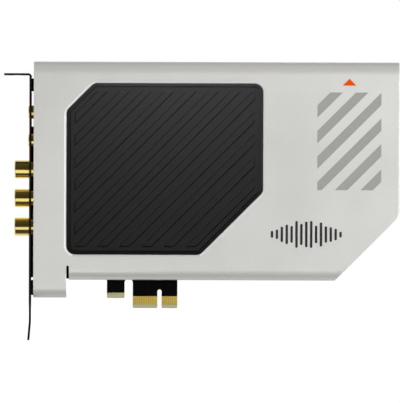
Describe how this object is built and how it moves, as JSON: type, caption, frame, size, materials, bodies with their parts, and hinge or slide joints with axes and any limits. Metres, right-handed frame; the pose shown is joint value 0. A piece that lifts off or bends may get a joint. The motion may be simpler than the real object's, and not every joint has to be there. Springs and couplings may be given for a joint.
{
  "type": "sound card",
  "caption": "Full-height expansion sound card: folded silver-grey shroud with a ribbed dark inlay, black bracket with gold audio sockets, black board with a keyed edge connector.",
  "frame": {"origin": "lower edge of the edge connector, in the middle of its key slot and of the board's thickness", "axes": "+X along the card away from the bracket, +Y out of the board's rear face, +Z away from the slot"},
  "size_m": [0.1777, 0.0184, 0.1254],
  "materials": {
    "board_black": "black solder mask, semi-gloss",
    "gold_plate": "polished gold plate",
    "bracket_black": "satin black",
    "screw_black": "dark zinc",
    "shroud_silver": "satin silver-grey coat",
    "standoff_brass": "turned, plain",
    "panel_grey": "fine matt texture",
    "adhesive": "matt film",
    "stripe_ink": "matt print",
    "pointer_ink": "matt print",
    "wave_ink": "matt print",
    "chip_black": "fine moulded",
    "crystal_can": "satin",
    "capacitor_base": "matt",
    "capacitor_can": "satin",
    "film_case": "semi-gloss",
    "relay_case": "semi-matt",
    "inductor_core": "matt ferrite",
    "socket_black": "moulded, semi-matt",
    "socket_white": "moulded, semi-matt",
    "spring_metal": "plain"
  },
  "bodies": {
    "root": {"circuit_board": "board_black", "edge_contacts_front": "gold_plate", "edge_contacts_rear": "gold_plate", "bracket": "bracket_black", "bracket_screws": "screw_black", "shroud": "shroud_silver", "shroud_standoffs": "standoff_brass", "shroud_screws": "screw_black", "accent_panel": "panel_grey", "panel_adhesive": "adhesive", "stripe_print": "stripe_ink", "pointer_print": "pointer_ink", "waveform_print": "wave_ink", "audio_processor": "chip_black", "bus_interface_chip": "chip_black", "output_converter": "chip_black", "input_converter": "chip_black", "firmware_memory": "chip_black", "headphone_amplifiers": "chip_black", "op_amps": "chip_black", "voltage_regulators": "chip_black", "clock_crystals": "crystal_can", "capacitor_bases": "capacitor_base", "capacitor_cans": "capacitor_can", "film_capacitors": "film_case", "relays": "relay_case", "power_inductors": "inductor_core", "headphone_jack_housing": "socket_black", "headphone_jack_bush": "gold_plate", "headphone_jack_springs": "spring_metal", "microphone_jack_housing": "socket_black", "microphone_jack_bush": "gold_plate", "microphone_jack_springs": "spring_metal", "line_left_housing": "socket_black", "line_left_barrel": "gold_plate", "line_left_insulator": "socket_white", "line_left_contact": "gold_plate", "line_right_housing": "socket_black", "line_right_barrel": "gold_plate", "line_right_insulator": "socket_white", "line_right_contact": "gold_plate", "digital_out_housing": "socket_black", "digital_out_barrel": "gold_plate", "digital_out_insulator": "socket_white", "digital_out_contact": "gold_plate"}
  },
  "joints": []
}
